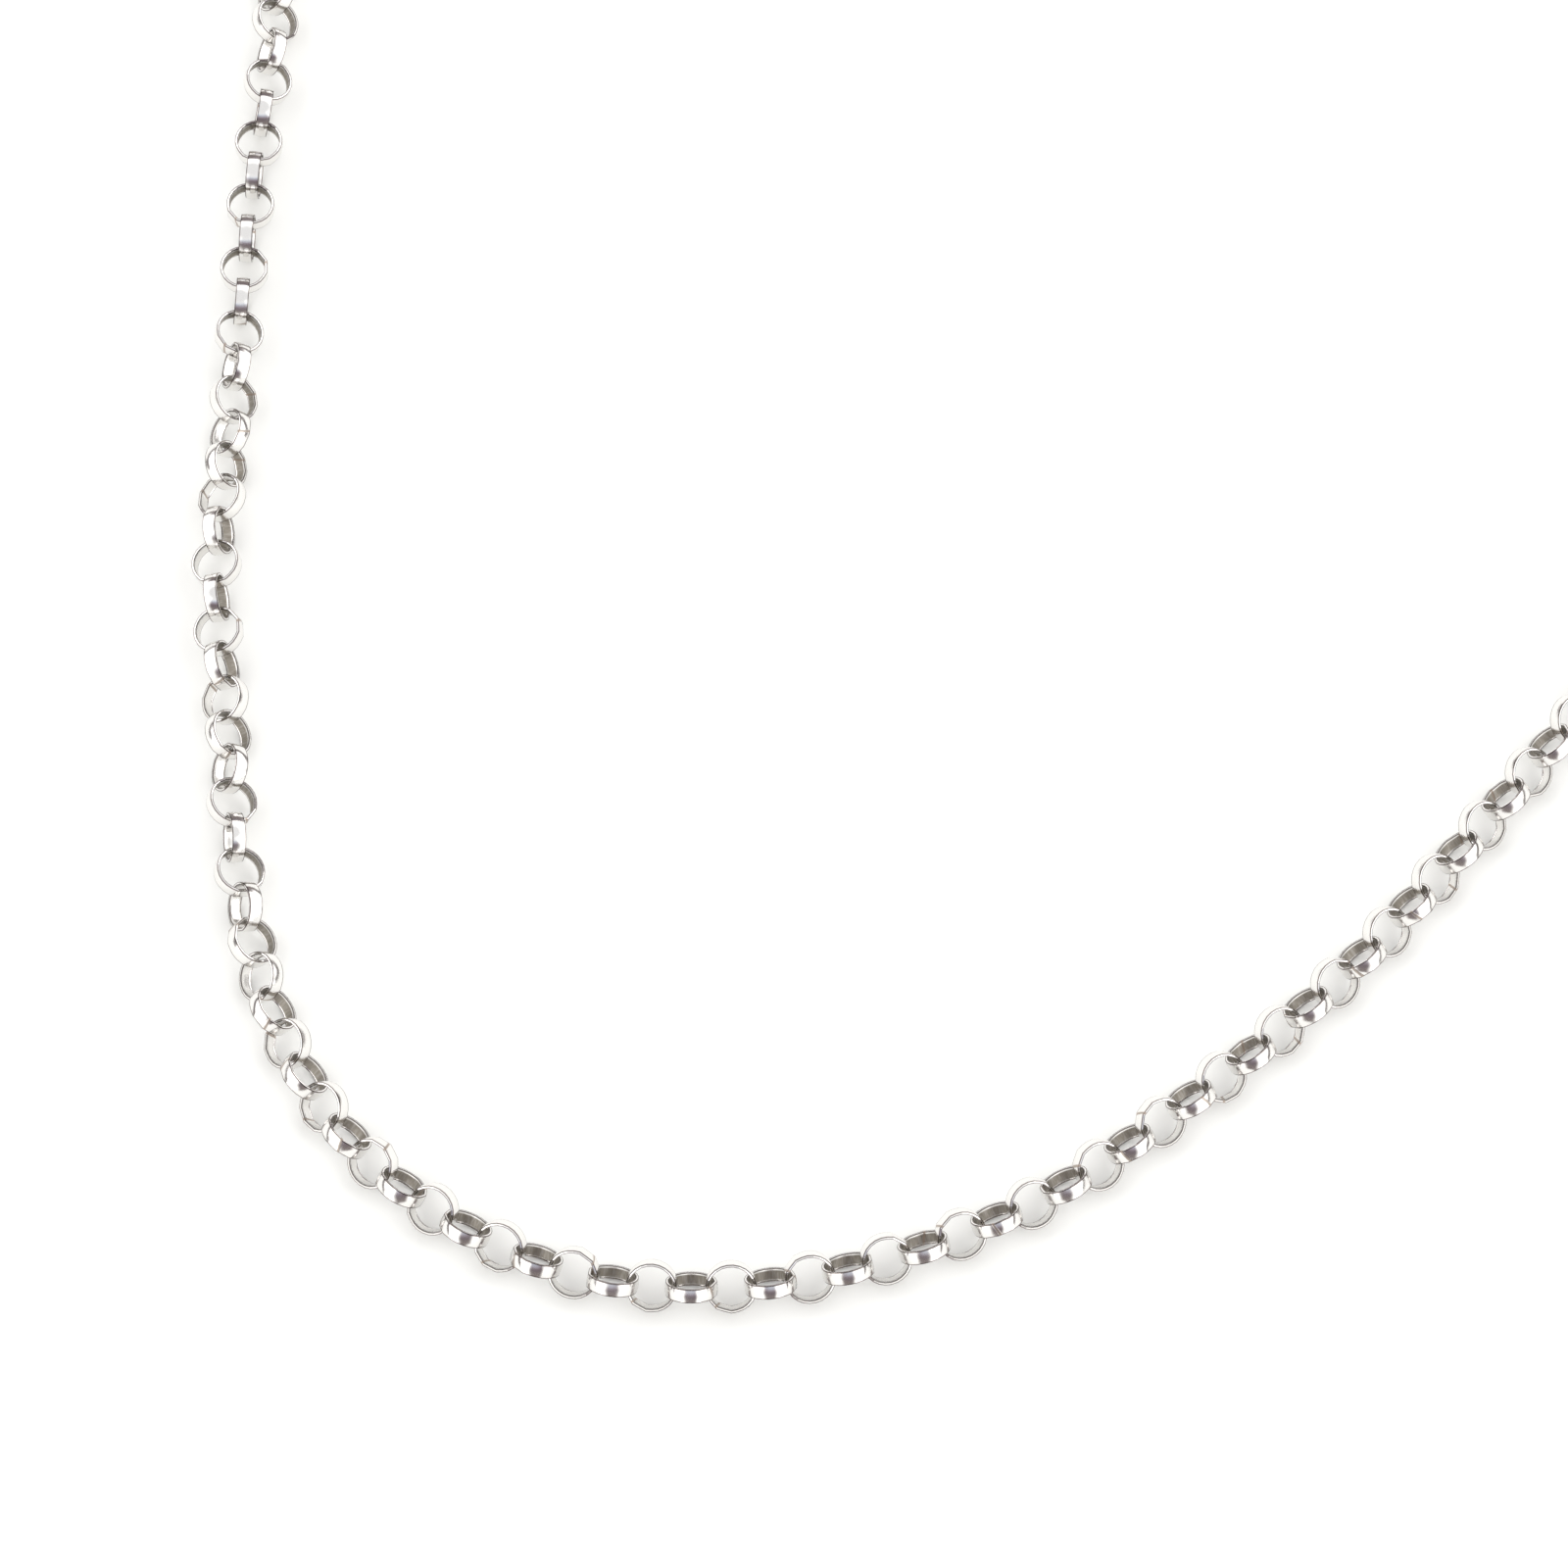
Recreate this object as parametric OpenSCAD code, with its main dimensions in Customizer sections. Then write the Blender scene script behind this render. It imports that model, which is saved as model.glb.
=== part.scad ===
// Rolo chain necklace, laid on a flat surface as one closed loop.
// Each link is a closed ring of half-round band. It lies tilted, and it holds both of its neighbours,
// which tilt the other way. A round clasp closes the loop at the back.
// Lengths are in millimetres and angles in degrees, +Z is up, and the loop rests on z = 0.

/* [Necklace] */
// Length of the whole loop along its centre line, with the clasp
necklace_length = 450; // [380:5:520]

/* [Links] */
// Outer diameter of a link, over the crown of its band
link_od = 3; // [2.7:0.05:3.4]
// Width of the band, along the link's axis
band_w = 0.78; // [0.5:0.02:0.9]
// Thickness of the band at its crown
band_t = 0.22; // [0.16:0.01:0.3]
// How far the crown stands above the band's edges
crown_h = 0.06; // [0.03:0.01:0.12]
// Play between two links, end to end, on a straight run
link_play = 0.22; // [0.2:0.01:0.4]

/* [Jump ring] */
// Outer diameter of the ring that holds the clasp's eyelet
jump_ring_od = 3.2; // [2.8:0.1:4]
// Thickness of its wire
jump_ring_wire = 0.5; // [0.35:0.05:0.65]

/* [Catch ring] */
// Outer diameter of the ring that the clasp closes on
catch_ring_od = 3.6; // [3:0.1:4.4]
// Thickness of its wire
catch_ring_wire = 0.6; // [0.4:0.05:0.7]

/* [Clasp] */
// Outer diameter of the round clasp
clasp_od = 6; // [5:0.25:8]
// Thickness of its tube
clasp_tube = 0.9; // [0.7:0.05:1.1]
// Outer diameter of its eyelet
eyelet_od = 3; // [2.6:0.1:3.6]
// Thickness of the eyelet's wire
eyelet_wire = 0.5; // [0.4:0.05:0.6]
// Diameter of its thumb knob
knob_d = 0.6; // [0.4:0.05:0.8]
// How far the knob stands out from the tube
knob_h = 0.7; // [0.3:0.05:1.2]
// Play between the clasp and a ring, end to end
clasp_play = 0.3; // [0.25:0.01:0.5]

/* [Hidden] */
$fn = 48;

// The loop's line seen from above, counter-clockwise from the back
route = [
    [-6, 84], [-25.5, 78], [-40, 64.5], [-48.5, 46], [-52, 26], [-52.5, 10], [-52.5, -2],
    [-53.5, -15.5], [-54, -29], [-54.5, -41], [-53.5, -50], [-52.5, -59], [-50, -68.5],
    [-45.5, -76], [-39, -81.2], [-31.5, -84.2], [-23.5, -84.7], [-15, -83], [-6.5, -79.5],
    [1.5, -74], [11, -66], [20, -56], [29, -45], [38, -32.5], [46.5, -17], [52.5, 1],
    [54.5, 20.5], [52.5, 41], [45.5, 60], [32.5, 75.5], [14, 83.5]
];
// Where the clasp lies, as a share of the loop from its first point
clasp_share = 0.0014;
// How far the chain has rolled about its own line: [share of the loop, degrees]
roll_table = [
    [0.238, 0], [0.263, -42], [0.285, -42], [0.307, 0], [0.325, 32], [0.335, 34],
    [0.366, -30], [0.388, 5], [0.62, 5], [0.7, 0]
];
// Tilt of a link on a chain that hasn't rolled
link_tilt = 45;
// Points worked out on each stretch between two points of the route
steps = 12;

// Straight stretches that the dome of the band's cross-section is drawn in
dome_steps = 4;

// Sizes of the band's dome and of the holes
dome_r = (pow(band_w / 2, 2) + pow(crown_h, 2)) / (2 * crown_h);
dome_axis = link_od / 2 - dome_r;
link_hole = link_od / 2 - band_t;
jump_ring_hole = jump_ring_od / 2 - jump_ring_wire;
catch_ring_hole = catch_ring_od / 2 - catch_ring_wire;
clasp_hole = clasp_od / 2 - clasp_tube;
eyelet_hole = eyelet_od / 2 - eyelet_wire;

// Cross-section of a link's band, flat inside and domed outside: [distance from the axis, height]
band = [
    [link_hole, band_w / 2], [link_hole, -band_w / 2],
    for (k = [0 : dome_steps])
        let (z = band_w * (k / dome_steps - 1 / 2))
        [dome_axis + sqrt(pow(dome_r, 2) - pow(z, 2)), z]
];

// Distances between the centres of pieces that hold each other
pitch_max = reach(link_hole, band_w, link_hole, band_w) - link_play;
catch_to_link = reach(catch_ring_hole, catch_ring_wire, link_hole, band_w) - link_play;
jump_to_link = reach(jump_ring_hole, jump_ring_wire, link_hole, band_w) - link_play;
clasp_to_catch = reach(clasp_hole, clasp_tube, catch_ring_hole, catch_ring_wire) - clasp_play;
eyelet_to_jump = reach(eyelet_hole, eyelet_wire, jump_ring_hole, jump_ring_wire) - clasp_play;
eyelet_offset = (clasp_od - clasp_tube + eyelet_od) / 2;

// Places along the loop, measured from the route's first point
clasp_s = clasp_share * necklace_length;
catch_s = clasp_s + clasp_to_catch;
jump_s = clasp_s - eyelet_offset - eyelet_to_jump;
first_link_s = catch_s + catch_to_link;
last_link_s = jump_s + necklace_length - jump_to_link;
// The count is odd, so that both rings tilt to the same side and the clasp can tilt to the other
link_count = 1 + 2 * ceil((last_link_s - first_link_s) / (2 * pitch_max));
pitch = (last_link_s - first_link_s) / (link_count - 1);

// The furthest that two holes can lie apart while each piece passes through the other's hole.
// The band of one is as wide as width_a or width_b, and a round wire counts as its thickness.
function reach(hole_a, width_a, hole_b, width_b) =
    sqrt(pow(hole_a, 2) - pow(width_b / 2, 2)) + sqrt(pow(hole_b, 2) - pow(width_a / 2, 2));

// The route as one smooth closed curve
function route_point(i) = route[(i + len(route)) % len(route)];
function chord(i) = route_point(i + 1) - route_point(i);
function direction(i) =
    let (before = norm(chord(i - 1)), after = norm(chord(i)))
    (chord(i - 1) * after / before + chord(i) * before / after) / (before + after);
function on_stretch(i, u) =
    let (v = 1 - u)
    v * v * (1 + 2 * u) * route_point(i) + u * u * (1 + 2 * v) * route_point(i + 1)
    + norm(chord(i)) * u * v * (v * direction(i) - u * direction(i + 1));
track = [for (i = [0 : len(route) - 1], k = [0 : steps - 1]) on_stretch(i, k / steps)];
track_steps = [for (i = [0 : len(track) - 1]) norm(track[(i + 1) % len(track)] - track[i])];
track_marks = [for (i = 0, total = 0; i <= len(track);
    total = total + (i < len(track) ? track_steps[i] : 0), i = i + 1) total];

// The curve, scaled to the necklace's length and centred on the origin
track_scale = necklace_length / track_marks[len(track)];
track_x = [for (p = track) p.x];
track_y = [for (p = track) p.y];
centre_x = (max(track_x) + min(track_x)) / 2;
centre_y = (max(track_y) + min(track_y)) / 2;
table_x = [for (i = [0 : len(track)])
    [track_marks[i] * track_scale, (track_x[i % len(track)] - centre_x) * track_scale]];
table_y = [for (i = [0 : len(track)])
    [track_marks[i] * track_scale, (track_y[i % len(track)] - centre_y) * track_scale]];
function wrap(s) = s - necklace_length * floor(s / necklace_length);
function place(s) = [lookup(wrap(s), table_x), lookup(wrap(s), table_y)];
function angle_of(v) = atan2(v.y, v.x);
function heading(s) = angle_of(place(s + pitch / 2) - place(s - pitch / 2));

// Lowest point of a link below its centre, for the tilt of its axis from upright
function link_drop(tilt) = max([for (p = band) p.x * abs(sin(tilt)) + p.y * abs(cos(tilt))]);
function ring_drop(od, wire, tilt) = (od - wire) / 2 * abs(sin(tilt)) + wire / 2;

// Roll and height of the chain at a place along the loop
function roll(s) = lookup(wrap(s) / necklace_length, roll_table);
function height(s) = max(link_drop(roll(s) + link_tilt), link_drop(roll(s) - link_tilt));
function slope(s) = atan((height(s + pitch / 2) - height(s - pitch / 2)) / pitch);

// Pieces tilt to one side and the other in turn, from the catch ring to the jump ring
function piece_tilt(k) = k % 2 == 0 ? link_tilt : -link_tilt;

module lay(s, z, rise, tilt) {
    translate([place(s).x, place(s).y, z])
        rotate([0, -rise, heading(s)])
            rotate([-tilt, 0, 0])
                children();
}

module round_ring(od, wire) {
    rotate_extrude()
        translate([(od - wire) / 2, 0])
            circle(d = wire);
}

module link() {
    rotate_extrude()
        polygon(band);
}

module chain() {
    color("silver")
        for (k = [1 : link_count]) {
            s = first_link_s + (k - 1) * pitch;
            lay(s, height(s), slope(s), roll(s) + piece_tilt(k))
                link();
        }
}

module jump_ring() {
    color("silver")
        lay(jump_s, ring_drop(jump_ring_od, jump_ring_wire, link_tilt), 0, piece_tilt(link_count + 1))
            round_ring(jump_ring_od, jump_ring_wire);
}

module catch_ring() {
    color("silver")
        lay(catch_s, ring_drop(catch_ring_od, catch_ring_wire, link_tilt), 0, piece_tilt(0))
            round_ring(catch_ring_od, catch_ring_wire);
}

// The clasp lies straight between its two rings, level with the chain and with one edge on the surface
module clasp() {
    along = place(catch_s) - place(jump_s);
    centre = place(catch_s) - along * clasp_to_catch / norm(along);
    level = link_drop(link_tilt);
    tube_r = (clasp_od - clasp_tube) / 2;
    tilt = -asin((level - clasp_tube / 2) / tube_r);
    color("silver")
        translate([centre.x, centre.y, level])
            rotate([-tilt, 0, angle_of(along)]) {
                round_ring(clasp_od, clasp_tube);
                translate([-eyelet_offset, 0])
                    round_ring(eyelet_od, eyelet_wire);
                translate([0, tube_r])
                    rotate([-90, 0, 0])
                        cylinder(d = knob_d, h = clasp_tube / 2 + knob_h);
            }
}

chain();
jump_ring();
catch_ring();
clasp();
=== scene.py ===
# %% [markdown]
# # A silver rolo chain
#
# The necklace is one closed loop of small round links that lies on a white surface. Each link is a
# closed ring of half-round band: flat inside, domed outside. Every link holds its two neighbours,
# and the chain lies half rolled over, so the links lean to one side and the other in turn.
#
# The imported model comes first. It fixes where every link, ring and clasp lies, and nothing below
# moves or resizes it.

import math

import bpy
import numpy as np
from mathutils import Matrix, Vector


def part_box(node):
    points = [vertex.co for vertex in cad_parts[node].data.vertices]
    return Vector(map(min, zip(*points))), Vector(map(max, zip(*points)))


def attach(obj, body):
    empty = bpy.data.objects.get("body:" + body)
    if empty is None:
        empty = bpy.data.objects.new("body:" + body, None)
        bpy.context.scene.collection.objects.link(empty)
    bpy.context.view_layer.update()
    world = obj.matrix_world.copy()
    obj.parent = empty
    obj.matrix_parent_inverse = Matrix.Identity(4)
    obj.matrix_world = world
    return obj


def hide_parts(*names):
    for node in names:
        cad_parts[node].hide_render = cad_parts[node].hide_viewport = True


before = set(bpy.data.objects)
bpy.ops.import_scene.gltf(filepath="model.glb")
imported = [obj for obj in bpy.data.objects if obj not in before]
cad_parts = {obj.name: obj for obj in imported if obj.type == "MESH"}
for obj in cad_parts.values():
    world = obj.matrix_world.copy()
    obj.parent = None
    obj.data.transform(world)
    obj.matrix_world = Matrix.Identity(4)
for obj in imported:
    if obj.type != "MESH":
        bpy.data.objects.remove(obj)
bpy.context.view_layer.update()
MM = 0.001
print("Nodes:", ", ".join(sorted(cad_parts)))

# %% [markdown]
# ## Node trees written as sums
#
# Both the links and the materials below are trees of nodes. Wired by hand in the editor, even a
# short formula becomes a web of Math nodes. Here a small class wraps a socket instead, so that an
# expression such as `1 - mask` adds its own Math node. Every other kind of node comes from one
# method, which takes the node's type, its settings and what goes into its sockets.

# %% Sockets that can be added and multiplied
class Wire:
    """An output socket. A sum with it adds a Math node to its tree."""

    def __init__(self, nodes, socket):
        self.nodes = nodes
        self.socket = socket

    def math(self, operation, *values):
        """A Math node in this wire's tree that works on the given values."""
        return self.nodes.add("ShaderNodeMath", {"operation": operation}, dict(enumerate(values)))

    def other(self, name):
        """Another output of the node that this wire leaves."""
        return Wire(self.nodes, self.socket.node.outputs[name])

    def __add__(self, value):
        return self.math("ADD", self, value)

    def __sub__(self, value):
        return self.math("SUBTRACT", self, value)

    def __rsub__(self, value):
        return self.math("SUBTRACT", value, self)

    def __mul__(self, value):
        return self.math("MULTIPLY", self, value)

    def __truediv__(self, value):
        return self.math("DIVIDE", self, value)

    def __abs__(self):
        return self.math("ABSOLUTE", self)

    __radd__ = __add__
    __rmul__ = __mul__

    def at_least(self, value):
        return self.math("MAXIMUM", self, value)

    def at_most(self, value):
        return self.math("MINIMUM", self, value)

    def below(self, value):
        return self.math("LESS_THAN", self, value)

    def rise(self, start, end):
        """0 up to start, 1 from end on, and smooth between the two; start may be the larger."""
        sockets = {"Value": self, "From Min": start, "From Max": end}
        return self.nodes.add("ShaderNodeMapRange", {"interpolation_type": "SMOOTHSTEP"}, sockets)


class Nodes:
    """Adds nodes to one tree."""

    def __init__(self, tree):
        self.tree = tree

    def plug(self, socket, value):
        """Links a wire to a socket, or sets a plain value on it."""
        if isinstance(value, Wire):
            self.tree.links.new(value.socket, socket)
        else:
            socket.default_value = value

    def add(self, kind, settings=None, sockets=None, output=0):
        """A node with its settings, which come first, and its sockets. Returns one of its outputs."""
        node = self.tree.nodes.new(kind)
        for name, value in (settings or {}).items():
            if name == "stops":
                set_stops(node.color_ramp, value)
            else:
                setattr(node, name, value)
        for key, value in (sockets or {}).items():
            self.plug(node.inputs[key], value)
        return Wire(self, node.outputs[output])


def set_stops(ramp, stops):
    """Gives a colour ramp its stops: a list of (position, colour)."""
    while len(ramp.elements) < len(stops):
        ramp.elements.new(0.5)
    for element, (position, colour) in zip(ramp.elements, stops):
        element.position = position
        element.color = (*colour, 1)


print("Expressions on sockets are ready")

# %% [markdown]
# ## Camera
#
# The photo looks down on the chain from the front, 66 degrees above the surface, so near that the
# back of the loop lies outside the picture. Only the front bow and parts of the two branches show.
# The camera aims at a point a little in from the chain's front left corner. Depth of field stays
# off, so the branches that the photo blurs are sharp here.

# %% Place the camera
ELEVATION = math.radians(66)
DISTANCE = 0.3125
SENSOR = 36.0
FOCAL_LENGTH = 123.75
AIM_FROM_CORNER = Vector((34.97, 32.0, 1.3)) * MM

chain_low, chain_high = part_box("chain")
aim = Vector((chain_low.x, chain_low.y, 0)) + AIM_FROM_CORNER
camera = bpy.data.objects.new("camera", bpy.data.cameras.new("camera"))
bpy.context.scene.collection.objects.link(camera)
bpy.context.scene.camera = camera
camera.data.sensor_width = SENSOR
camera.data.lens = FOCAL_LENGTH
camera.data.clip_start = 0.01
camera.location = aim + Vector((0, -math.cos(ELEVATION), math.sin(ELEVATION))) * DISTANCE
camera.rotation_euler = (math.pi / 2 - ELEVATION, 0, 0)
print("Camera aims at", [round(value / MM, 2) for value in aim], "mm")

# %% [markdown]
# ## Where the links lie
#
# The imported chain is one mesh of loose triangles, and each link in it is an island. Corners that
# share a place are merged, and the islands follow from the triangles that share a corner. An
# island's centre is the mean of its surface. Its axis is the direction in which the ring is
# thinnest, and the smallest eigenvector of the surface's spread gives it.

# %% Find each link's centre and axis
SAME_PLACE = 0.001 * MM


def corners_of(mesh):
    """The places of a mesh's merged corners, and its triangles as numbers of corners."""
    places = np.empty(len(mesh.vertices) * 3)
    mesh.vertices.foreach_get("co", places)
    triangles = np.empty(len(mesh.polygons) * 3, dtype=int)
    mesh.polygons.foreach_get("vertices", triangles)
    grid = np.round(places.reshape(-1, 3) / SAME_PLACE).astype(int)
    _, first, number = np.unique(grid, axis=0, return_index=True, return_inverse=True)
    return places.reshape(-1, 3)[first], number.reshape(-1)[triangles].reshape(-1, 3)


def islands_of(corner_count, triangles):
    """The number of the island that each triangle belongs to."""
    island = np.arange(corner_count)
    while True:
        lowest = island[triangles].min(axis=1)
        before = island.copy()
        for side in range(3):
            np.minimum.at(island, triangles[:, side], lowest)
        if (island == before).all():
            break
    return np.unique(island[triangles[:, 0]], return_inverse=True)[1]


def rings_in(mesh):
    """The centre and the axis of every ring in a mesh of separate rings."""
    places, triangles = corners_of(mesh)
    island = islands_of(len(places), triangles)
    a, b, c = (places[triangles[:, side]] for side in range(3))
    area = np.linalg.norm(np.cross(b - a, c - a), axis=1)
    middle = (a + b + c) / 3
    rings = []
    for number in range(island.max() + 1):
        own = island == number
        weight = area[own] / area[own].sum()
        centre = weight @ middle[own]
        spread = middle[own] - centre
        axis = np.linalg.eigh((spread * weight[:, None]).T @ spread)[1][:, 0]
        rings.append((centre, axis if axis[2] > 0 else -axis))
    return rings


links = rings_in(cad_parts["chain"].data)
MEASURED_LINKS = 20
nearest = [min(np.linalg.norm(other[0] - link[0]) for other in links if other is not link)
           for link in links[:MEASURED_LINKS]]
print("Links found:", len(links), "- pitch about", round(float(np.median(nearest)) / MM, 3), "mm")

# %% [markdown]
# Each link becomes one point. A rotation on the point turns the upright axis of a model link onto
# the axis of the real one. Every second link leans into the loop, and the point carries that too,
# because those links are painted darker inside: partly duller silver, partly painted shade.

# %% Make a point for each link
places = bpy.data.meshes.new("link_places")
places.from_pydata([Vector(centre) for centre, axis in links], [], [])
turn = places.attributes.new("turn", "QUATERNION", "POINT")
for point, (centre, axis) in zip(turn.data, links):
    point.value = Vector((0, 0, 1)).rotation_difference(Vector(axis))
leans_in = places.attributes.new("leans_in", "FLOAT", "POINT")
for point, (centre, axis) in zip(leans_in.data, links):
    point.value = float(centre[:2] @ axis[:2] < 0)
print("Links that lean in:", sum(int(point.value) for point in leans_in.data), "of", len(links))

# %% [markdown]
# ## One link
#
# A real link starts as a strip of half-round band. Its two ends are the last part to be bent, so
# they stay nearly straight and meet at the soldered seam in a shallow corner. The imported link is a
# plain turned ring without them, and its loose triangles can't be rounded any further. So the link
# is made anew, as a coarse cage of 72 faces that one level of Subdivision Surface rounds off: it
# stays light, though the chain repeats it 199 times. A flat grid is rolled up into the cage, with
# 12 cross-sections around the link and 6 corners around the band. Creases keep what the rounding
# would lose: the three corners around the seam, and the crisp edges between the band's inner face,
# its two rims and its dome.
#
# The cage carries four values for the material: how far a place is from the seam, on which side of
# it, where it is across the band, and how deep it is in the band, from 1 on the crown to -1 inside.

# %% Roll a grid up into the cage of a link
LINK = {
    "Outer radius": 1.5 * MM,
    "Hole radius": 1.295 * MM,
    "Inner crown": 0.025 * MM,
    "Dome height": 0.045 * MM,
    "Rim crown": 0.012 * MM,
    "Band width": 0.80 * MM,
    "Straight stretch": math.radians(35),
    "Inner crease": 0.8,
    "Outer crease": 0.65,
}
CROSS_SECTIONS = 12
BAND_CORNERS = 6
# Subdivision takes a quarter off the middle row of a crowned face
MIDDLE = 4 / 3
# Two values on the grid are the same if they differ by less than this
SAME = 0.25
# Where the grid's edges meet, corners nearer than this become one
WELD = 0.01 * MM


def store(nodes, geometry, domain, name, value, data_type="FLOAT"):
    """Keeps a value on each point, edge or instance of a geometry."""
    return nodes.add("GeometryNodeStoreNamedAttribute", {"data_type": data_type, "domain": domain},
                     {"Geometry": geometry, "Name": name, "Value": value})


def link_cage(nodes, size):
    """The cage of one link, from the sizes that the tree is given."""
    grid = nodes.add("GeometryNodeMeshGrid", sockets={
        "Size X": CROSS_SECTIONS, "Size Y": BAND_CORNERS,
        "Vertices X": CROSS_SECTIONS + 1, "Vertices Y": BAND_CORNERS + 1})
    place = nodes.add("ShaderNodeSeparateXYZ", sockets={0: nodes.add("GeometryNodeInputPosition")})
    from_middle = abs(place)
    row = place.other("Y")

    # The straight stretches lie between the seam and the cross-sections next to it
    last_bend = CROSS_SECTIONS / 2 - 1
    straight = size["Straight stretch"]
    step = (math.pi - straight) / last_bend
    seam = math.pi - from_middle.at_most(last_bend) * step
    seam = seam - (from_middle - last_bend).at_least(0) * straight
    angle = seam * (place + 0.5).math("SIGN", place + 0.5)

    # Around the band, from the crown over one rim to the inner face and back over the other rim.
    # Depth is 0.5 at a rim's outer edge and -0.5 at its inner edge, and across is 1 or -1 at both.
    turn = (row / BAND_CORNERS + 0.5) * (2 * math.pi)
    depth = turn.math("COSINE", turn)
    across = turn.math("SINE", turn) / math.sin(2 * math.pi / BAND_CORNERS)
    hole_side = depth.below(0)
    hole = size["Hole radius"]
    edge = size["Outer radius"] - size["Dome height"]
    radius = hole + (edge - hole) * (depth + 0.5).at_least(0).at_most(1)
    radius = radius + size["Dome height"] * MIDDLE * 2 * (depth - 0.5).at_least(0)
    radius = radius + size["Inner crown"] * MIDDLE * 2 * (depth + 0.5).at_most(0)

    # Subdivision draws round corners inwards by this share, and creased ones not at all
    drawn_in = (step.math("COSINE", step) + 3) / 4
    bent = from_middle.below(last_bend - 0.5)
    radius = radius * (bent / drawn_in + (1 - bent))

    # Edges across the band lie on whole columns of the grid, and edges along it on whole rows
    corner = abs(abs(from_middle - last_bend - 0.5) - 0.5).below(SAME)
    hole_edge = abs(abs(row) - 1).below(SAME)
    dome_edge = abs(abs(row) - 2).below(SAME)
    crease = (corner + hole_edge) * size["Inner crease"] + dome_edge * size["Outer crease"]
    cage = store(nodes, grid, "EDGE", "crease_edge", crease)
    cage = store(nodes, cage, "EDGE", "sharp_edge", hole_edge + dome_edge, "BOOLEAN")
    side = angle.math("SINE", angle)
    for name, value in (("seam", seam), ("side", side), ("across", across), ("depth", depth)):
        cage = store(nodes, cage, "POINT", name, value)
    rolled = nodes.add("ShaderNodeCombineXYZ", sockets={
        "X": radius * angle.math("COSINE", angle),
        "Y": radius * side,
        "Z": (size["Band width"] / 2 - hole_side * size["Rim crown"]) * across})
    cage = nodes.add("GeometryNodeSetPosition", sockets={"Geometry": cage, "Position": rolled})
    return nodes.add("GeometryNodeMergeByDistance", sockets={"Geometry": cage, "Distance": WELD})


print("A cage has", CROSS_SECTIONS * BAND_CORNERS, "faces")

# %% [markdown]
# ## The tree that makes the chain
#
# A Python loop could copy the link 199 times as well. A tree says it in fewer words, and names the
# sizes that someone may want to change. It puts one cage on each point, spins each link round its
# own axis by a random angle, so that the seams lie all over the chain, and gives each link a random
# tone for its material. The seed is fixed, so every run gives the same chain.

# %% Build the chain's tree
def new_tree(name, inputs):
    """A Geometry Nodes tree with named inputs. Returns its nodes, its sockets and its input."""
    tree = bpy.data.node_groups.new(name, "GeometryNodeTree")
    sockets = {label: tree.interface.new_socket(label, in_out="INPUT", socket_type=kind)
               for label, kind in inputs}
    tree.interface.new_socket("Geometry", in_out="OUTPUT", socket_type="NodeSocketGeometry")
    nodes = Nodes(tree)
    return nodes, sockets, nodes.add("NodeGroupInput")


def end_tree(nodes, geometry, material):
    """Ends a tree in Realize Instances and Set Material."""
    solid = nodes.add("GeometryNodeRealizeInstances", sockets={"Geometry": geometry})
    solid = nodes.add("GeometryNodeSetMaterial", sockets={"Geometry": solid, "Material": material})
    output = nodes.tree.nodes.new("NodeGroupOutput")
    nodes.plug(output.inputs[0], solid)


def random_number(nodes, high, seed):
    """A random number from 0 to high for each point."""
    return nodes.add("FunctionNodeRandomValue", {"data_type": "FLOAT"},
                     {2: 0.0, 3: high, "Seed": seed}, output=1)


chain_nodes, chain_sockets, given = new_tree("rolo_chain", [
    ("Places", "NodeSocketGeometry"),
    *((name, "NodeSocketFloat") for name in LINK),
    ("Seed", "NodeSocketInt"),
    ("Silver", "NodeSocketMaterial")])
cage = link_cage(chain_nodes, {name: given.other(name) for name in LINK})
cage = chain_nodes.add("GeometryNodeSetShadeSmooth", sockets={"Geometry": cage})
spin = chain_nodes.add("FunctionNodeAxisAngleToRotation", sockets={
    "Axis": (0, 0, 1), "Angle": random_number(chain_nodes, 2 * math.pi, given.other("Seed"))})
turned = chain_nodes.add("GeometryNodeInputNamedAttribute", {"data_type": "QUATERNION"},
                         {"Name": "turn"})
turned = chain_nodes.add("FunctionNodeRotateRotation", {"rotation_space": "LOCAL"},
                         {"Rotation": turned, "Rotate By": spin})
copies = chain_nodes.add("GeometryNodeInstanceOnPoints", sockets={
    "Points": given.other("Places"), "Instance": cage, "Rotation": turned})
tone = random_number(chain_nodes, 1.0, given.other("Seed") + 1)
copies = store(chain_nodes, copies, "INSTANCE", "tone", tone)
end_tree(chain_nodes, copies, given.other("Silver"))
print("Nodes in the chain's tree:", len(chain_nodes.tree.nodes))

# %% [markdown]
# ## Silver
#
# Polished silver is almost a mirror, so most of its look comes from what it reflects. Its own part
# is small: a warm white, a gloss that changes a little from place to place, and fine scratches from
# polishing. In such a chain half of the links are soldered and polished as loose rings. The other
# half join them and are soldered in the chain, where no polishing tool gets inside them. So every
# second link is painted dark grey brown inside, with streaks across the band: partly the dull silver
# of the soldering, and partly painted shade in the hollow of the link. A thin dark line marks the
# seam. A finer dark line along both edges of each rim is a painted dark reflection on its rounded
# edges.
#
# The bump adds the streaks and scratches. It also rounds the inner face and the rims a little more
# than the mesh does, and slopes the rims towards the hole, as the tumbling of finished chain does.
# That slope turns the light walls into each rim, between its two dark lines. All of this is less
# than a tenth of a millimetre high.

# %% Name the colours of silver
SILVER = (0.88, 0.865, 0.845, 1)
# The dull grey brown is partly the dull silver of the soldering and partly painted shade in the hollow
# of a link
DULL_AND_SHADE = (0.275, 0.25, 0.215, 1)
SEAM = (0.34, 0.27, 0.22, 1)
# EDGE is the colour of a painted dark reflection on the rounded edges of the rims
EDGE = (0.17, 0.14, 0.135, 1)
BLOTCH_SCALE = 900.0
SCRATCH_SCALE = 4000.0


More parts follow.
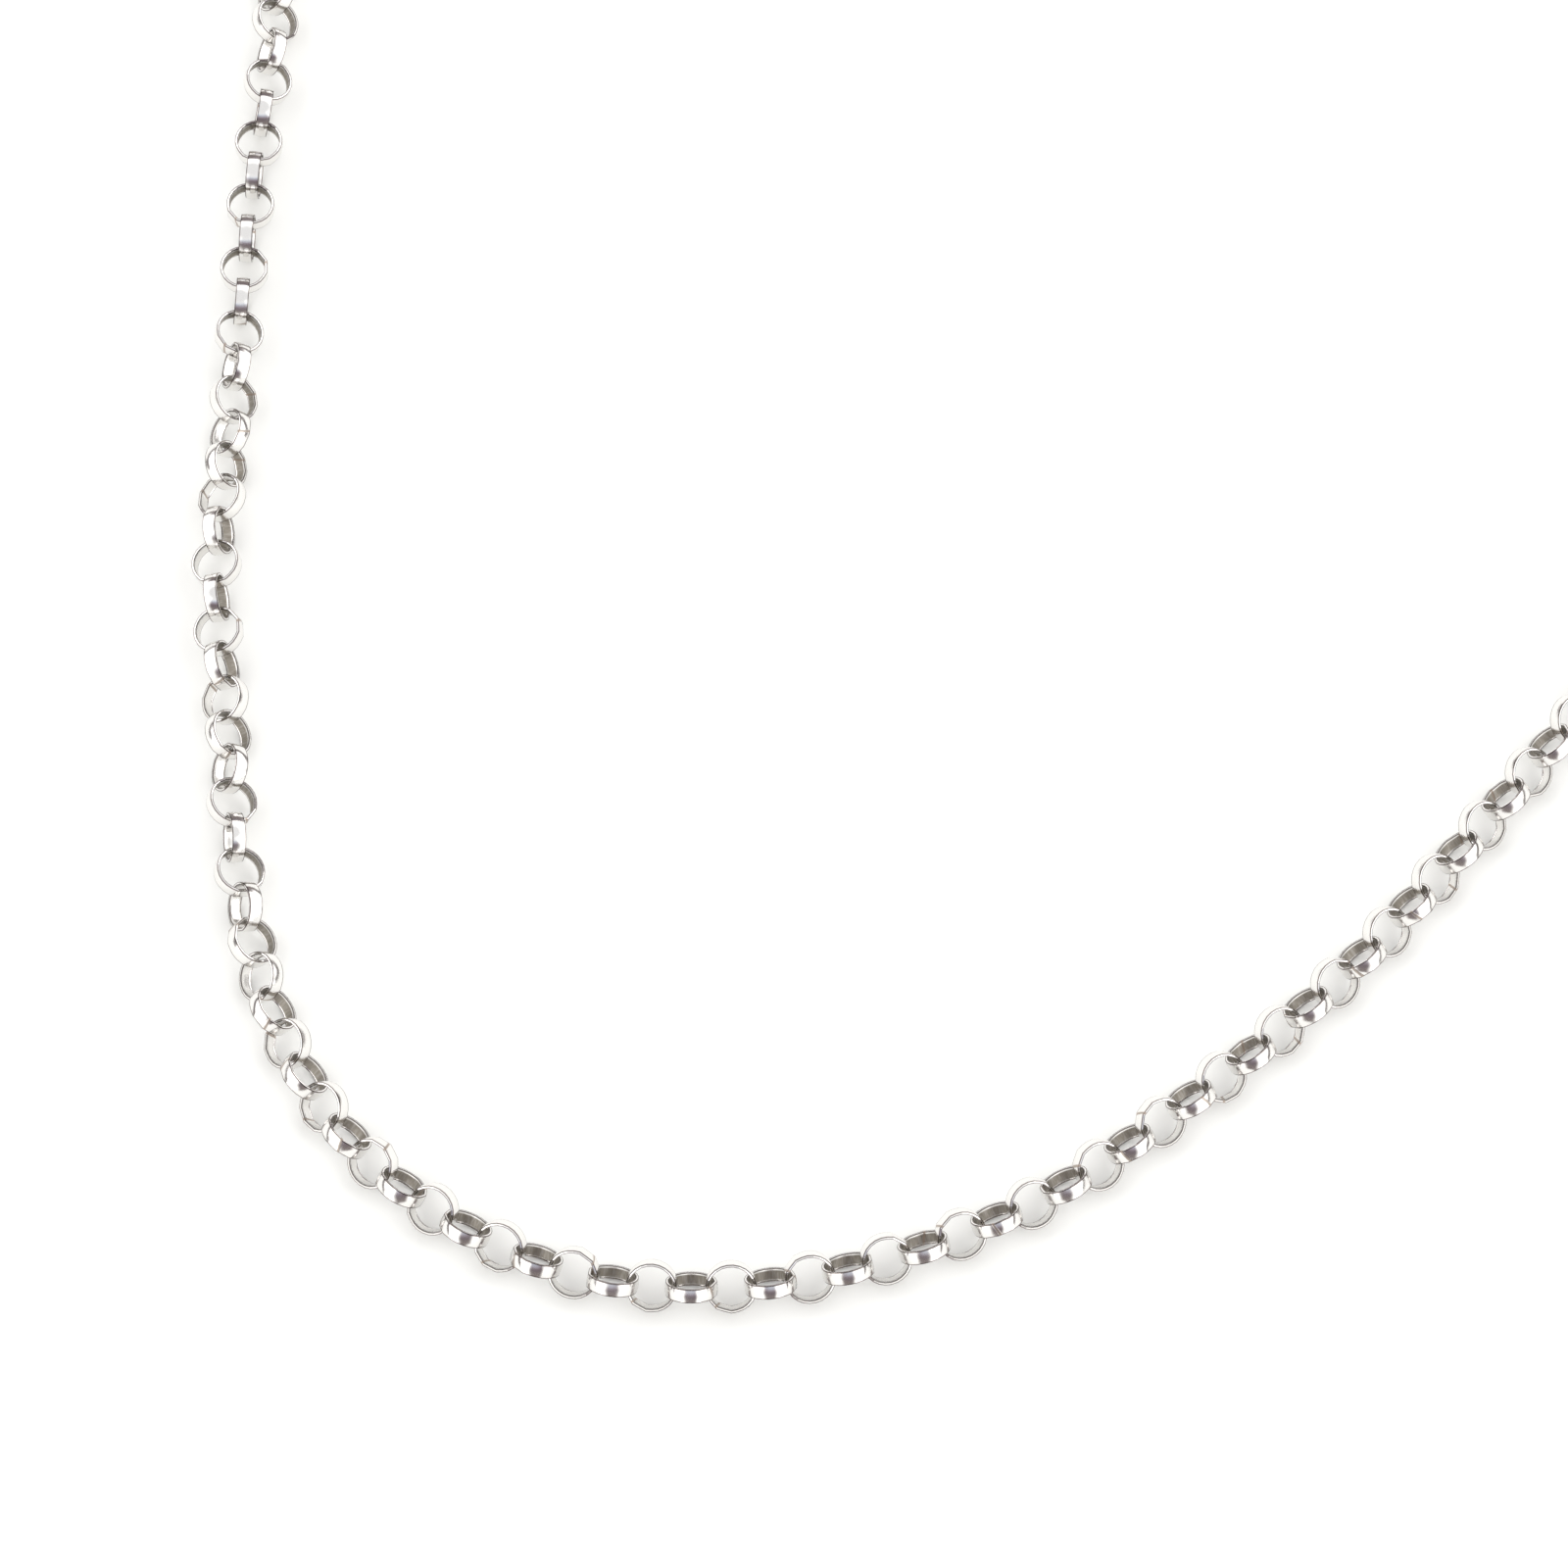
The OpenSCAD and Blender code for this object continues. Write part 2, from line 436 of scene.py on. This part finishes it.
def new_material(name):
    """A new material, its nodes and its shader."""
    material = bpy.data.materials.new(name)
    material.use_nodes = True
    shader = material.node_tree.nodes["Principled BSDF"]
    shader.inputs["Metallic"].default_value = 1.0
    return material, Nodes(material.node_tree), shader


def mix_colours(nodes, share, first, second):
    """The first colour where the share is 0, and the second where it is 1."""
    return nodes.add("ShaderNodeMix", {"data_type": "RGBA"}, {0: share, 6: first, 7: second}, output=2)


def value_on(nodes, name):
    """A number that the mesh carries."""
    return nodes.add("ShaderNodeAttribute", {"attribute_name": name}).other("Fac")


def noise(nodes, place, scale, detail=2.0):
    """Noise from 0 to 1, mostly near 0.5."""
    return nodes.add("ShaderNodeTexNoise", sockets={"Vector": place, "Scale": scale, "Detail": detail})


print("Silver reflects", round(sum(SILVER[:3]) / 3 * 100), "percent, and dull silver",
      round(sum(DULL_AND_SHADE[:3]) / 3 * 100))

# %% Find the streaks, rims and seam of a link
link_silver, nodes, shader = new_material("link_silver")
tone = value_on(nodes, "tone")
seam = value_on(nodes, "seam")
side = value_on(nodes, "side")
across = value_on(nodes, "across")
depth = value_on(nodes, "depth")
leaning = value_on(nodes, "leans_in")
object_place = nodes.add("ShaderNodeTexCoord").other("Object")
blotches = noise(nodes, object_place, BLOTCH_SCALE)
scratches = noise(nodes, object_place, SCRATCH_SCALE)

# Streaks run across the band, so their noise changes faster along it. Each link has its own.
STREAKS_ALONG = 9
STREAKS_ACROSS = 0.5
BETWEEN_LINKS = 50
inside = depth.rise(-0.45, -0.6) * abs(across).rise(0.8, 0.6)
streak_place = nodes.add("ShaderNodeCombineXYZ", sockets={
    "X": seam * STREAKS_ALONG, "Y": across * STREAKS_ACROSS, "Z": tone * BETWEEN_LINKS})
streaks = noise(nodes, streak_place, 1.5, 4.0)
STREAK_SHARE = 0.15
# Painted shade and dull silver inside: the hollow of each link is darkened, most in the links that
# lean in
dullness_and_shade = inside * (streaks.rise(0.3, 0.6) * STREAK_SHARE + (1 - STREAK_SHARE))
DULL_AND_SHADE_IN_OTHERS = 0.1
dullness_and_shade = dullness_and_shade * (leaning * (1 - DULL_AND_SHADE_IN_OTHERS) + DULL_AND_SHADE_IN_OTHERS)

# A rim's dark lines are painted reflections on its rounded edges. They lie at its two edges, where the
# depth is RIM or -RIM, and spread mostly inwards
RIM = 0.5
OUTWARDS = 4
from_edge = (abs(depth) - RIM).at_least(0) * OUTWARDS + (RIM - abs(depth)).at_least(0)
painted_rim_reflection = from_edge.rise(0.36, 0.14) * abs(across).rise(0.6, 0.8)

# The seam runs a little askew and wavers. Side is 0 opposite it too, so only places near it count.
ASKEW = 0.09
WAVER = 0.05
NEAR_SEAM = 1
seam_line = abs(side + across * ASKEW + (streaks - 0.5) * WAVER)
at_seam = seam_line.rise(0.07, 0.03) * seam.below(NEAR_SEAM)
print("Nodes that find places on a link:", len(link_silver.node_tree.nodes))

# %% Colour and round the link's silver
SEAM_SHARE = 0.8
# Dull silver and painted shade inside the links
colour = mix_colours(nodes, dullness_and_shade, SILVER, DULL_AND_SHADE)
# Painted dark reflections along both edges of each rim
colour = mix_colours(nodes, painted_rim_reflection, colour, EDGE)
colour = mix_colours(nodes, at_seam * SEAM_SHARE, colour, SEAM)
nodes.plug(shader.inputs["Base Color"], colour)

GLOSS = 0.1
gloss = blotches.rise(0.3, 0.7) * 0.08 + tone * 0.04 + GLOSS
nodes.plug(shader.inputs["Roughness"], gloss + dullness_and_shade * 0.36 + at_seam * 0.2)

# A height of 1 is BUMP high
BUMP = 0.007 * MM
INNER_FALL = 9
RIM_FALL = 2.5
RIM_SLOPE = 9
SCRATCHES = 0.1
falls_inside = across.math("POWER", abs(across), 3) * depth.below(-RIM) * INNER_FALL
falls_on_rim = depth.math("POWER", abs(depth) * 2, 4) * abs(depth).below(RIM) * RIM_FALL
slopes_to_hole = depth.at_least(-RIM).at_most(RIM) * RIM_SLOPE
height = streaks * inside + scratches * SCRATCHES - at_seam
height = height - falls_inside - falls_on_rim + slopes_to_hole
bump = nodes.add("ShaderNodeBump", sockets={"Height": height, "Distance": BUMP})
nodes.plug(shader.inputs["Normal"], bump)
print("Nodes in the link's silver:", len(link_silver.node_tree.nodes))

# %% [markdown]
# The tree runs on the points, and its result becomes a plain mesh. One level of Subdivision Surface
# then rounds every link at once.

# %% Make the chain
SEED = 7


def run_tree(piece, nodes, sockets, values):
    """Runs a tree on a piece once and keeps what it makes as the piece's mesh."""
    modifier = piece.modifiers.new("tree", "NODES")
    modifier.node_group = nodes.tree
    for name, value in values.items():
        modifier[sockets[name].identifier] = value
    evaluated = piece.evaluated_get(bpy.context.evaluated_depsgraph_get())
    mesh = bpy.data.meshes.new_from_object(evaluated)
    piece.modifiers.remove(modifier)
    piece.data = mesh
    return piece


def add_piece(name, mesh):
    """A new object in the scene, at the origin."""
    piece = bpy.data.objects.new(name, mesh)
    bpy.context.scene.collection.objects.link(piece)
    return piece


chain = add_piece("chain_links", places)
run_tree(chain, chain_nodes, chain_sockets, {**LINK, "Seed": SEED, "Silver": link_silver})
rounding = chain.modifiers.new("rounding", "SUBSURF")
rounding.levels = 1
rounding.render_levels = 1
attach(chain, "root")
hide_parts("chain")
print("Faces in the chain's cages:", len(chain.data.polygons), "- values:",
      [layer.name for layer in chain.data.attributes])

# %% [markdown]
# ## The rings and the clasp
#
# At the back a round clasp closes on the larger ring, and a smaller ring holds its eyelet. All three
# are turned and bent from round wire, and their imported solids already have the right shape. So they
# stay, and only get their silver. A jump ring is a coil of wire sawn open: its two ends meet in a
# hairline joint, and the saw leaves them a little dull. The joint is the plane through the ring's
# axis, on one side of the ring. Dot products with the ring's own directions give both.

# %% Make the silver of round wire
WIRE_BLOTCH_SCALE = 700.0
WIRE_SCRATCH_SCALE = 5000.0
JOINT_WAVER = 0.04 * MM
JOINT_FADE = 0.2 * MM
WIRE_BUMP = 0.02 * MM


def dot(nodes, first, second):
    """How far one vector reaches along another."""
    return nodes.add("ShaderNodeVectorMath", {"operation": "DOT_PRODUCT"}, {0: first, 1: second},
                     output=1)


def wire_silver(name, centre, along, outwards, joint):
    """Silver with scratches along a ring, and with a joint of a given width on its outer side."""
    material, nodes, shader = new_material(name)
    object_place = nodes.add("ShaderNodeTexCoord").other("Object")
    from_centre = nodes.add("ShaderNodeVectorMath", {"operation": "SUBTRACT"},
                            {0: object_place, 1: tuple(centre)})
    blotches = noise(nodes, object_place, WIRE_BLOTCH_SCALE)
    scratches = noise(nodes, object_place, WIRE_SCRATCH_SCALE, 3.0)
    on_side = dot(nodes, from_centre, tuple(outwards)).rise(0, JOINT_FADE)
    from_joint = abs(dot(nodes, from_centre, tuple(along)) + (blotches - 0.5) * JOINT_WAVER)
    at_joint = from_joint.rise(joint, joint * 0.4) * on_side
    near_joint = from_joint.rise(joint * 9, joint) * on_side
    colour = mix_colours(nodes, blotches.rise(0.35, 0.75) * 0.15 + near_joint * 0.3, SILVER, DULL_AND_SHADE)
    colour = mix_colours(nodes, at_joint * 0.85, colour, SEAM)
    nodes.plug(shader.inputs["Base Color"], colour)
    gloss = blotches.rise(0.3, 0.7) * 0.08 + GLOSS
    nodes.plug(shader.inputs["Roughness"], gloss + near_joint * 0.15)
    bump = nodes.add("ShaderNodeBump", sockets={
        "Height": scratches * 0.2 - at_joint, "Strength": 0.3, "Distance": WIRE_BUMP})
    nodes.plug(shader.inputs["Normal"], bump)
    return material


def polish(name, joint):
    """Gives a packed ring its silver. Its joint lies on the side that the chain leaves free."""
    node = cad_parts[name]
    centre, axis = (Vector(part) for part in rings_in(node.data)[0])
    away = Vector((centre.x, centre.y, 0))
    outwards = (away - axis * away.dot(axis)).normalized()
    silver = wire_silver(name + "_silver", centre, axis.cross(outwards), outwards, joint)
    for slot in node.material_slots:
        slot.material = silver
    print(name, "- centre in mm:", [round(value / MM, 2) for value in centre])


HAIRLINE = 0.02 * MM
NO_JOINT = 0.0001 * MM
for name, joint in (("jump_ring", HAIRLINE), ("catch_ring", HAIRLINE), ("clasp", NO_JOINT)):
    polish(name, joint)

# %% [markdown]
# ## Floor and light
#
# The chain was photographed in a light tent: white walls, with an opening in front for the camera
# and the dark room behind it. Polished metal shows all of this. Each link's front has a dark streak
# that is the opening's reflection, and the rest of it is white. The lamps shine on the walls, so the
# tent's top is dimmer, and a dark strip runs along the table at the sides and back. The world's
# shader is that tent, with a low second opening at the back, so that the chain stands out from
# there as well. It works from the direction alone, so it stays put when the camera moves.

# %% Lay the floor
FLOOR_HALF = 2.0
FLOOR_CORNERS = [(-FLOOR_HALF, -FLOOR_HALF, 0), (FLOOR_HALF, -FLOOR_HALF, 0),
                 (FLOOR_HALF, FLOOR_HALF, 0), (-FLOOR_HALF, FLOOR_HALF, 0)]
floor_mesh = bpy.data.meshes.new("floor")
floor_mesh.from_pydata(FLOOR_CORNERS, [], [(0, 1, 2, 3)])
floor = add_piece("floor", floor_mesh)
floor_paint, nodes, shader = new_material("floor_white")
shader.inputs["Metallic"].default_value = 0.0
shader.inputs["Base Color"].default_value = (0.89, 0.89, 0.87, 1)
shader.inputs["Roughness"].default_value = 0.9
floor_mesh.materials.append(floor_paint)
print("Floor side in m:", 2 * FLOOR_HALF)

# %% Make the tent's walls
# Angles are in degrees: height is up from the surface, and sideways is round from the front
DEGREES = 180 / math.pi
world = bpy.data.worlds.new("tent")
bpy.context.scene.world = world
world.use_nodes = True
nodes = Nodes(world.node_tree)
looking = nodes.add("ShaderNodeSeparateXYZ", sockets={
    0: nodes.add("ShaderNodeTexCoord").other("Generated")})
upwards = looking.other("Z")
height = upwards.math("ARCSINE", upwards) * DEGREES
sideways = abs(looking.math("ARCTAN2", looking, looking.other("Y") * -1)) * DEGREES

# The strip along the table lies below the surface in front, and above it at the sides and back
WALLS = (1.9, 1.89, 1.87, 1)
LOW = (0.17, 0.15, 0.15, 1)
STRIP_RISE = 20
above_table = (height - sideways.rise(58, 80) * STRIP_RISE).rise(-12, -6)
walls = mix_colours(nodes, above_table, LOW, WALLS)
print("Walls are", round(WALLS[0] / LOW[0]), "times as bright as the strip along the table")

# %% Open the tent and light it
# The opening in front gets wider with height, and the one at the back closes with it
HALF_WIDTH = 17
WIDENING = 10
CLOSING = 60
half_width = height.rise(5, 25) * WIDENING + HALF_WIDTH
from_back = 180 - sideways + height.rise(25, 40) * CLOSING
opening = (sideways.at_most(from_back) - half_width).rise(16, -6)

# The stops go from straight down, at 0, to straight up, at 1: a dark room, its ceiling, the tent
room = nodes.add("ShaderNodeValToRGB", {"stops": [
    (0.0, (0.25, 0.21, 0.2)), (0.57, (0.23, 0.195, 0.19)), (0.64, (0.17, 0.14, 0.155)),
    (0.67, (0.22, 0.175, 0.195)), (0.7, (0.34, 0.3, 0.35)), (0.735, (0.5, 0.52, 0.6)),
    (0.77, (0.85, 0.88, 0.95)), (0.82, (1.0, 1.0, 1.0))]}, {"Fac": height / 180 + 0.5})
TOP = (0.9, 0.9, 0.91, 1)
seen = mix_colours(nodes, opening, walls, room)
seen = mix_colours(nodes, height.rise(48, 66), seen, TOP)
background = world.node_tree.nodes["Background"]
nodes.plug(background.inputs["Color"], seen)
background.inputs["Strength"].default_value = 1.0
bpy.context.scene.view_settings.view_transform = "Standard"
print("Tent is lit")
